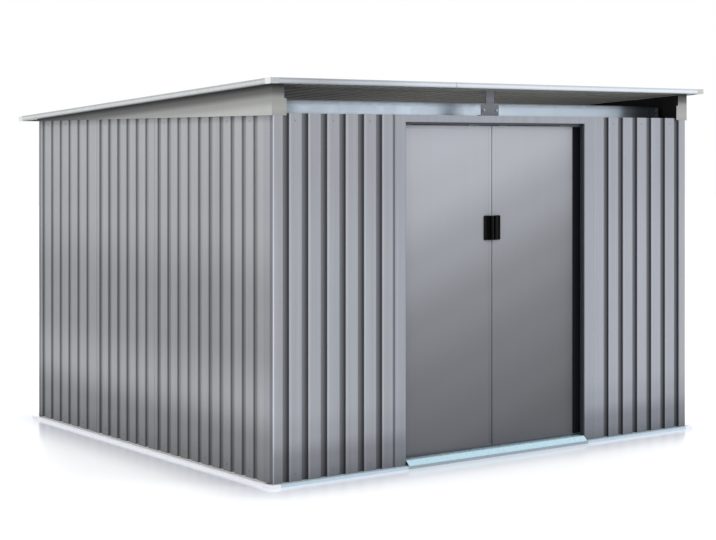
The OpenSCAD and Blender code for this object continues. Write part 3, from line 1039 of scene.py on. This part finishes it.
    def dress(self) -> None:
        """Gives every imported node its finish, and inner zinc to those that aren't named here."""
        plan = {node: node for node in WALLS} | dict.fromkeys(ROOF_SHEETS, "roof")
        plan |= {f"corner_post_{end}_{side}": f"{end}_post" for end in ("front", "rear") for side in SIDES}
        for side in SIDES:
            plan |= {
                f"{side}_door": "door", f"{side}_door_handle": "handle", f"{side}_door_runners": "nylon",
                f"{side}_gable": f"{side}_gable", f"roof_trim_{side}": "side_trim",
                f"roof_trim_front_{side}": "front_trim", f"base_rail_{side}": "rail",
            }
        plan |= {
            "door_header": "frame", "door_jamb_left": "left_jamb", "door_jamb_right": "frame",
            "door_ramp": "sill", "door_track_bottom": "sill",
            "front_beam": "beam", "beam_brackets": "bracket",
            "base_rail_front": "front_rail", "base_rail_rear": "rail", "roof_trim_rear": "side_trim",
            "roof_corner_caps": "cap",
        }
        for name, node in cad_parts.items():
            finish = self[plan.get(name, "zinc")]
            node.data.materials.clear()
            node.data.materials.append(finish.material())
            LOG.info("%s: %s", name, finish.name)


@dataclass
class WallFixings:
    """Painted screws through the crests of the walls, and rivets along the corner posts and jambs."""

    palette: Palette
    screw: Fastener = Fastener(3.6 * MM, 2.2 * MM, 5.5 * MM, 0.6 * MM, 8, 0.4 * MM)
    rivet: Fastener = Fastener(2.4 * MM, 1.0 * MM, 3.6 * MM, 0.4 * MM, 8)
    edge_gap: float = 16 * MM
    least_crest: float = 30 * MM
    every: int = 2
    rivet_pitch: float = 0.26
    first_rivet: float = 0.06
    last_rivet: float = 0.09

    def build(self) -> None:
        """Adds the screws of each wall and the rivets of each post and jamb."""
        for node in WALLS:
            self.wall_screws(node)
        for side, facing in zip(SIDES, (Facing.LEFT, Facing.RIGHT)):
            front, rear = f"corner_post_front_{side}", f"corner_post_rear_{side}"
            self.rivets(front, Facing.FRONT, "rivets")
            self.rivets(rear, Facing.REAR, "rivets")
            self.rivets(front, facing, "side_rivets")
            self.rivets(rear, facing, "side_rivets")
            self.rivets(f"door_jamb_{side}", Facing.FRONT, "rivets")

    def wall_screws(self, node: str) -> None:
        """Adds a row of screws at the top and at the foot of one wall.

        Args:
            node: name of the wall's node.
        """
        facing = WALLS[node]
        level = Cad.crest_level(node, facing)
        flats = Cad.flats(node, facing.outward, facing.along, level)
        crests = [run for run in flats if run[1] - run[0] > self.least_crest]
        low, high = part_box(node)
        places = [
            facing.place(sum(run) / 2, level, height)
            for run in crests[1:-1:self.every]
            for height in (low.z + 2 * self.edge_gap, high.z - 2 * self.edge_gap)
        ]
        self.screw.row(f"{node}_screws", places, "shed", self.palette["painted_fixing"])

    def rivets(self, node: str, facing: Facing, kind: str) -> None:
        """Adds rivets up one face: at a post's edge away from the corner, or a jamb's away from the doors.

        Args:
            node: name of the post's or the jamb's node.
            facing: the direction of its face.
            kind: end of the piece's name.
        """
        low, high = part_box(node)
        level = max(low.dot(facing.outward), high.dot(facing.outward))
        axis = 0 if facing in (Facing.FRONT, Facing.REAR) else 1
        near, far = sorted((abs(low[axis]), abs(high[axis])))
        spot = far - self.edge_gap if node.startswith("door_jamb") else near + self.edge_gap
        run = math.copysign(spot, low[axis] + high[axis]) * facing.along[axis]
        first, last = low.z + self.first_rivet, high.z - self.last_rivet
        count = round((last - first) / self.rivet_pitch)
        places = [
            facing.place(run, level, first + (last - first) * step / count) for step in range(count + 1)
        ]
        self.rivet.row(f"{node}_{kind}", places, "shed", self.palette["painted_fixing"])


@dataclass
class RoofFixings:
    """Hexagon screws with rubber washers through the roof's ribs."""

    palette: Palette
    screw: Fastener = Fastener(4.0 * MM, 2.2 * MM, 6.5 * MM, 0.8 * MM, 6)
    washer: Fastener = Fastener(5.0 * MM, 0.3 * MM, 7.5 * MM, 1.0 * MM, 12)
    half_beam: float = 15 * MM

    def rows(self) -> list[float]:
        """Places of the rows from front to rear: over each cross beam and over the rear wall."""
        low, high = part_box("roof_beams")
        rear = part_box("rear_wall")[1].y - 3 * self.half_beam
        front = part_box("front_beam")[0].y + self.half_beam
        return [front, low.y + self.half_beam, high.y - self.half_beam, rear]

    def build(self) -> None:
        """Adds the screws with their washers."""
        normal = Cad.roof_normal()
        turn = normal.to_track_quat("Z", "Y").to_matrix().to_4x4()
        places = []
        for node in ROOF_SHEETS:
            level = Cad.reach(node, normal)[1]
            for start, stop in Cad.flats(node, normal, Vector(ACROSS), level):
                for y in self.rows():
                    height = (level - normal.y * y) / normal.z
                    places.append(Matrix.Translation(((start + stop) / 2, y, height)) @ turn)
        self.washer.row("roof_screw_washers", places, "shed", self.palette["rubber"])
        lift = Matrix.Translation((0, 0, self.washer.flange_height))
        self.screw.row("roof_screws", [place @ lift for place in places], "shed", self.palette["pale_fixing"])


@dataclass
class DoorSeals:
    """Finned rubber on the jambs' returns, brushes over and under the leaves, and the leaves' edge strips."""

    palette: Palette
    base: float = 1.5 * MM
    fin: float = 3.0 * MM
    half_fin: float = 0.8 * MM
    fins: int = 3
    clear: float = 0.4 * MM
    return_step: Run = (10 * MM, 19 * MM)
    edge_w: float = 57 * MM
    edge_t: float = 2.5 * MM
    edge_base: float = 1.2 * MM
    edge_ribs: int = 6
    half_rib: float = 2 * MM
    end_gap: float = 2 * MM
    bulb: float = 2.4 * MM
    hem_w: float = 15 * MM
    hem_t: float = 0.8 * MM
    sunk: float = 0.2 * MM

    def build(self) -> None:
        """Adds the jambs' seals, the header's brush and each leaf's strips."""
        self.jamb_seals()
        self.header_brush()
        for side in SIDES:
            leaf = LeafSpan.read(f"{side}_door")
            self.edge_strip(side, leaf)
            self.bottom_brush(side, leaf)
            self.hems(side, leaf)
        self.meeting_bulb()

    def jamb_seals(self) -> None:
        """Adds the finned strips on both faces of each jamb's return."""
        edge_gap, leaf_gap = 3 * MM, 12 * MM
        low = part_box("door_jamb_right")[0]
        rise = (low.z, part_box("top_rail_front")[0].z - self.end_gap)
        step_x, step_y = low.x + self.return_step[0], low.y + self.return_step[1]
        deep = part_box("right_door")[0].y - leaf_gap
        for side in SIDES:
            shape = Shape()
            self.strip(shape, low.x, (low.y + edge_gap, step_y - MM), rise)
            self.strip(shape, step_x, (step_y + MM, deep), rise)
            if side == "left":
                shape.flip()
            # the grey rubber's dark tone also stands in for the shade on the jambs' returns: partly painted
            # shade
            shape.piece(f"door_seal_{side}", "shed", self.palette["grey_rubber"])

    def strip(self, shape: Shape, wall: float, run: Run, rise: Run) -> None:
        """Adds one strip with its fins, standing on a face that looks to -X.

        Args:
            shape: the shape to add to.
            wall: place of the face.
            run: where the strip starts and ends from front to rear.
            rise: its lower and upper end.
        """
        foot = wall - self.clear / 2
        shape.block((foot - self.base, run[0], rise[0]), (foot, run[1], rise[1]), 0.4 * MM)
        pitch = (run[1] - run[0]) / self.fins
        edge, root = foot - self.base - self.fin, foot - self.base / 2
        for count in range(self.fins):
            y = run[0] + (count + 0.5) * pitch
            shape.block((edge, y - self.half_fin, rise[0]), (root, y + self.half_fin, rise[1]), 0.6 * MM)

    def header_brush(self) -> None:
        """Adds the brush strip that hangs from the rail behind the header: its holder and its bristles."""
        holder_w, holder_h, inset, leaf_gap, holder_top = 6 * MM, 4 * MM, 1.5 * MM, 3.5 * MM, 3 * MM
        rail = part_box("top_rail_front")[0].z
        low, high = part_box("right_door")
        half = -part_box("door_jamb_left")[1].x
        front = low.y - 22 * MM
        back = front + holder_w
        shape = Shape()
        shape.block((-half, front, rail - holder_h), (half, back, rail - self.sunk), 0.8 * MM)
        shape.block(
            (-half, front + inset, high.z + leaf_gap), (half, back - inset, rail - holder_top), 0.5 * MM,
        )
        # the brush's grey also stands in for the shade in the gap over the leaves: partly painted shade
        shape.piece("header_brush", "shed", self.palette["brush"])

    def edge_strip(self, side: str, leaf: LeafSpan) -> None:
        """Adds the ribbed black strip on a leaf's outer edge.

        Args:
            side: left or right.
            leaf: the leaf's box and edges.
        """
        inner = leaf.outer - leaf.way * self.edge_w
        back = leaf.low.y + self.sunk
        foot, top = leaf.low.z + self.end_gap, leaf.high.z - self.end_gap
        shape = Shape()
        shape.block((inner, back - self.edge_base, foot), (leaf.outer - leaf.way * MM, back, top), 0.4 * MM)
        pitch = self.edge_w / self.edge_ribs
        for count in range(self.edge_ribs):
            x = inner + leaf.way * (count + 0.5) * pitch
            shape.block(
                (x - self.half_rib, back - self.edge_t, foot), (x + self.half_rib, back - MM, top), 0.8 * MM,
            )
        # the black strip is a seal, and its black also stands in for the shade in the gap at the leaf's edge:
        # partly painted shade
        shape.piece(f"{side}_door_edge_seal", f"{side}_door", self.palette["rubber"])

    def bottom_brush(self, side: str, leaf: LeafSpan) -> None:
        """Adds the brush along a leaf's lower edge: its holder and its bristles.

        Args:
            side: left or right.
            leaf: the leaf's box and edges.
        """
        end = leaf.outer - leaf.way * (self.edge_w + MM)
        start, face, foot = leaf.meeting, leaf.low.y, leaf.low.z
        holder = ((start, face - 2 * MM, foot + 1 * MM), (end, face + self.sunk, foot + 9 * MM))
        bristles = ((start, face - 1.4 * MM, foot - 4 * MM), (end, face - 0.4 * MM, foot + 3 * MM))
        shape = Shape()
        shape.block(*holder, 0.7 * MM)
        shape.block(*bristles, 0.3 * MM)
        shape.piece(f"{side}_door_brush", f"{side}_door", self.palette["brush"])

    def hems(self, side: str, leaf: LeafSpan) -> None:
        """Adds the folded hems along a leaf's meeting edge and top edge.

        Args:
            side: left or right.
            leaf: the leaf's box and edges.
        """
        turn = leaf.meeting + leaf.way * self.hem_w
        end = leaf.outer - leaf.way * (self.edge_w + MM)
        front, back, top = leaf.low.y - self.hem_t, leaf.low.y + self.sunk, leaf.high.z
        shape = Shape()
        shape.block((leaf.meeting, front, leaf.low.z + 10 * MM), (turn, back, top), 0.35 * MM)
        shape.block((turn, front, top - self.hem_w), (end, back, top), 0.35 * MM)
        shape.piece(f"{side}_door_hems", f"{side}_door", self.palette["door"])

    def meeting_bulb(self) -> None:
        """Adds the pale bulb strip on the left leaf's meeting edge."""
        leaf = LeafSpan.read("left_door")
        low = (leaf.meeting - self.sunk, leaf.low.y + MM, leaf.low.z + self.end_gap)
        high = (leaf.meeting + self.bulb, leaf.low.y + 6 * MM, leaf.high.z - self.end_gap)
        shape = Shape()
        shape.block(low, high, 1 * MM, 3)
        shape.piece("door_meeting_bulb", "left_door", self.palette["door"])


@dataclass
class DoorGrips:
    """Moulded pull handles in place of the plain ones: a plate with a finger pocket beside a rounded bar."""

    palette: Palette
    plate: float = 6 * MM
    plate_rounding: float = 6 * MM
    bar_w: float = 14 * MM
    bar_rounding: float = 4.5 * MM
    soft: float = 2 * MM
    pocket_edge: float = 5 * MM
    pocket: float = 3.5 * MM
    screw_inset: float = 13 * MM
    screw: Fastener = Fastener(3.2 * MM, 1.4 * MM, 4.2 * MM, 0.4 * MM, 10, 0.8 * MM)

    def build(self) -> None:
        """Adds the handle of each leaf and its screws."""
        for side in SIDES:
            node, body = f"{side}_door_handle", f"{side}_door"
            span = LeafSpan.read(node)
            bar_edge = span.meeting + span.way * self.bar_w
            shape = Shape()
            self.pocketed_plate(shape, bar_edge - span.way * self.soft * 2, span)
            bar_low, bar_high = (span.meeting, span.low.y, span.low.z), (bar_edge, span.high.y, span.high.z)
            shape.block(bar_low, bar_high, self.bar_rounding, 4)
            piece = shape.piece(f"{side}_grip", body, self.palette["handle"])
            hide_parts(node)
            middle = (bar_edge + span.outer) / 2
            face = span.high.y - self.plate + self.pocket
            places = [
                Facing.FRONT.place(middle, -face, height)
                for height in (span.low.z + self.screw_inset, span.high.z - self.screw_inset)
            ]
            self.screw.row(f"{side}_grip_screws", places, body, self.palette["handle"])

    def pocketed_plate(self, shape: Shape, inner: float, span: LeafSpan) -> None:
        """Adds the plate, with the finger pocket pushed into its front.

        Args:
            shape: the empty shape to add to.
            inner: the plate's edge under the bar.
            span: the handle's box and edges.
        """
        low, high = span.low, span.high
        shape.block((inner, high.y - self.plate, low.z), (span.outer, high.y, high.z))
        corners = [
            edge for edge in shape.mesh.edges if (edge.verts[0].co - edge.verts[1].co).xz.length < MM
        ]
        shape.soften(corners, self.plate_rounding, 5)
        front = min(shape.mesh.faces, key=lambda face: face.calc_center_median().y)
        for rim in (self.pocket_edge, self.soft):
            bmesh.ops.inset_individual(shape.mesh, faces=[front], thickness=rim)
        bmesh.ops.translate(shape.mesh, vec=(0, self.pocket, 0), verts=front.verts)


@dataclass
class BeamBolts:
    """Hexagon bolts through the centre strut's foot and the front beam's end brackets."""

    palette: Palette
    bolt: Fastener = Fastener(6.5 * MM, 4.5 * MM, 8.5 * MM, 1.4 * MM, 6)
    strut_inset: float = 15 * MM
    strut_height: float = 28 * MM
    bracket_t: float = 4 * MM
    bracket_shift: float = 8 * MM
    bracket_inset: float = 16 * MM

    def build(self) -> None:
        """Adds the bolts."""
        left, (low, high), right = Cad.clusters("beam_brackets", 0.2)
        places = [
            Facing.FRONT.place(x, -low.y, low.z + self.strut_height)
            for x in (low.x + self.strut_inset, high.x - self.strut_inset)
        ]
        for (low, high), facing in ((left, Facing.RIGHT), (right, Facing.LEFT)):
            face = low.x + self.bracket_t if facing is Facing.RIGHT else high.x - self.bracket_t
            middle = (low.y + high.y) / 2 - self.bracket_shift
            places += [
                facing.place(middle * facing.along.y, face * facing.outward.x, height)
                for height in (low.z + self.bracket_inset, high.z - self.bracket_inset)
            ]
        self.bolt.row("beam_bolts", places, "shed", self.palette["fixing"])


@dataclass
class RunnerBolts:
    """Bolts at the back of each leaf, beside its hangers and its lower guides."""

    palette: Palette
    bolt: Fastener = Fastener(4.5 * MM, 2.5 * MM, 6.0 * MM, 0.8 * MM, 6)
    half_gap: float = 12 * MM
    edge_inset: float = 8 * MM

    def build(self) -> None:
        """Adds the bolts of both leaves."""
        for side in SIDES:
            leaf_low, leaf_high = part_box(f"{side}_door")
            places = []
            for low, high in Cad.clusters(f"{side}_door_runners", 0.1):
                middle = (low.x + high.x) / 2
                places += [
                    Facing.REAR.place(-x, leaf_high.y, height)
                    for x in (middle - self.half_gap, middle + self.half_gap)
                    for height in (leaf_low.z + self.edge_inset, leaf_high.z - self.edge_inset)
                ]
            self.bolt.row(f"{side}_runner_bolts", places, f"{side}_door", self.palette["fixing"])


@dataclass
class RailCorners:
    """Folded corner pieces that close the ends of the base rails."""

    palette: Palette
    leg: float = 50 * MM
    width: float = 14 * MM
    proud: float = 0.5 * MM
    lift: float = 0.1 * MM
    lap: float = 3 * MM
    wall_gap: float = 0.05 * MM
    rounding: float = 0.4 * MM

    def build(self) -> None:
        """Adds the four corner pieces."""
        front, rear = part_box("base_rail_front"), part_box("base_rail_rear")
        corner = Vector((front[0].x - self.proud, front[0].y - self.proud, self.lift))
        middle = (front[0].y + rear[1].y) / 2
        places = [
            Matrix.Translation((0, middle * (1 - end), 0)) @ Matrix.Diagonal((side, end, 1, 1))
            for side in (1, -1) for end in (1, -1)
        ]
        shape = Shape()
        shape.stamp(self.angle(corner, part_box("base_rail_left")[0].y - corner.y + self.lap), places)
        shape.piece("rail_corners", "shed", self.palette["rail"])

    def angle(self, corner: Vector, reach: float) -> bpy.types.Mesh:
        """Makes one corner piece, with a leg along the front rail and a leg across its end.

        Args:
            corner: the lowest outer corner.
            reach: length of the leg across the rail's end.

        Returns:
            The corner piece's mesh.
        """
        shape = Shape()
        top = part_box("front_wall_left")[0].z - self.wall_gap
        shape.block(corner, (corner.x + self.width, corner.y + self.width, top))
        ends = [max(shape.mesh.faces, key=lambda face: face.calc_center_median()[axis]) for axis in (0, 1)]
        steps = ((self.leg - self.width, 0, 0), (0, reach - self.width, 0))
        for end, step in zip(ends, steps):
            made = bmesh.ops.extrude_discrete_faces(shape.mesh, faces=[end])["faces"]
            bmesh.ops.translate(shape.mesh, vec=step, verts=made[0].verts)
        shape.soften([edge for edge in shape.mesh.edges if edge.calc_face_angle(0) > SHARP], self.rounding, 2)
        return shape.to_mesh("rail_corner_template")


@dataclass(frozen=True)
class Lamp:
    """A square soft lamp that looks at the middle of the shed, and isn't seen itself."""

    name: str
    place: Triple
    size: float
    watts: float
    colour: Triple = (1.0, 1.0, 1.0)

    def build(self, target: Vector) -> None:
        """Adds the lamp, turned to a target."""
        data = bpy.data.lights.new(self.name, "AREA")
        data.shape = "SQUARE"
        data.size = self.size
        data.energy = self.watts
        data.color = self.colour
        lamp = show(self.name, data)
        lamp.location = self.place
        lamp.visible_camera = False
        lamp.rotation_euler = (target - Vector(self.place)).to_track_quat("-Z", "Y").to_euler()


@dataclass
class Studio:
    """Camera, lamps, white surroundings and pale floor."""

    eye: Triple = (-5.3162, -7.2935, 1.4898)
    turn: float = 36.262
    lens: float = 84.6
    drop: float = 0.1753
    sky: float = 0.74
    sky_tint: Colour = (0.98, 0.99, 1.0, 1.0)
    floor_size: float = 60.0
    near_tint: Colour = (0.8, 0.84, 0.95, 1.0)
    far_tint: Colour = (0.9, 0.905, 0.92, 1.0)
    near_lift: float = 0.14
    far_lift: float = 0.4
    lamps: tuple[Lamp, ...] = (
        Lamp("key_lamp", (4.8, -7.8, 4.6), 3.2, 225.0, (1.0, 0.99, 0.98)),
        Lamp("inner_lamp", (0.0, 0.2, 0.3), 1.6, 4.0),
        Lamp("side_lamp", (-8.5, -1.5, 3.2), 4.5, 110.0, (1.0, 0.99, 0.97)),
        Lamp("rear_lamp", (3.0, 8.0, 5.0), 4.0, 200.0),
    )

    def build(self) -> None:
        """Sets up the whole studio."""
        self.camera()
        target = Vector((0, 0, (CAD_BOX[0].z + CAD_BOX[1].z) / 2))
        for lamp in self.lamps:
            lamp.build(target)
        self.world()
        self.floor()
        bpy.context.scene.view_settings.view_transform = "Standard"

    def camera(self) -> None:
        """Adds the level camera, with its view shifted down so that uprights stay upright."""
        data = bpy.data.cameras.new("camera")
        data.lens = self.lens
        data.shift_y = -self.drop
        camera = show("camera", data)
        camera.location = self.eye
        camera.rotation_euler = (math.pi / 2, 0, -math.radians(self.turn))
        bpy.context.scene.camera = camera

    @staticmethod
    def seen(graph: Graph) -> Socket:
        """1 for rays that show the surroundings: straight, mirrored or through glass."""
        path = graph.node("LightPath").outputs
        shown = graph.math("MAXIMUM", path["Is Camera Ray"], path["Is Glossy Ray"])
        return graph.math("MAXIMUM", shown, path["Is Transmission Ray"])

    def world(self) -> None:
        """Makes the surroundings white where they are seen, and a plain soft light elsewhere."""
        world = bpy.data.worlds.new("studio")
        bpy.context.scene.world = world
        graph = Graph.emptied(world)
        light = graph.node("Background", {"Color": self.sky_tint, "Strength": self.sky})
        white = graph.node("Background", {"Color": WHITE, "Strength": 1.0})
        both = graph.node("MixShader", {0: self.seen(graph), 1: light.outputs[0], 2: white.outputs[0]})
        graph.node("OutputWorld", {"Surface": both.outputs[0]})

    def floor(self) -> None:
        """Adds the pale floor: polished beside the shed, with painted shade there, bluer and less lifted, and
        plain white further out.
        """
        shape = Shape()
        bmesh.ops.create_grid(shape.mesh, x_segments=1, y_segments=1, size=self.floor_size / 2)
        data = shape.to_mesh("floor")
        made = bpy.data.materials.new("floor_white")
        graph = Graph.emptied(made)
        away = self.away(graph)
        # painted shade round the shed: less lift and a bluer tint near the walls
        lift = graph.span(away, 0.0, 0.35, self.near_lift, self.far_lift)
        shader = graph.node("BsdfPrincipled", {
            "Base Color": graph.mix(graph.span(away, 0.0, 0.4), self.near_tint, self.far_tint),
            "Roughness": graph.span(away, 0.0, 0.6, 0.1, 0.4),
            "Specular IOR Level": graph.span(away, 0.0, 0.45, 0.6, 0.05),
            "Emission Color": WHITE,
            "Emission Strength": graph.product(self.seen(graph), lift),
        })
        graph.node("OutputMaterial", {"Surface": shader.outputs[0]})
        data.materials.append(made)
        floor = show("floor", data)

    @staticmethod
    def away(graph: Graph) -> Socket:
        """Finds how far a place on the floor is from the walls' outline.

        Args:
            graph: the floor material's graph.

        Returns:
            The distance, 0 under the shed.
        """
        low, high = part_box("front_wall_left")[0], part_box("rear_wall")[1]
        half = (-low.x, (high.y - low.y) / 2, 10.0)
        place = graph.vector("ABSOLUTE", graph.node("TexCoord").outputs["Object"]).outputs[0]
        beyond = graph.vector("MAXIMUM", graph.vector("SUBTRACT", place, half).outputs[0]).outputs[0]
        return graph.vector("LENGTH", beyond).outputs["Value"]


def main() -> None:
    """Builds the shed's finishes and small parts, then the studio round it."""
    logging.basicConfig(level=logging.INFO, format="%(name)s: %(message)s")
    palette = Palette()
    palette.dress()
    for assembly in (
        WallFixings(palette), RoofFixings(palette), DoorSeals(palette), DoorGrips(palette),
        BeamBolts(palette), RunnerBolts(palette), RailCorners(palette), Studio(),
    ):
        assembly.build()


if __name__ == "__main__":
    main()
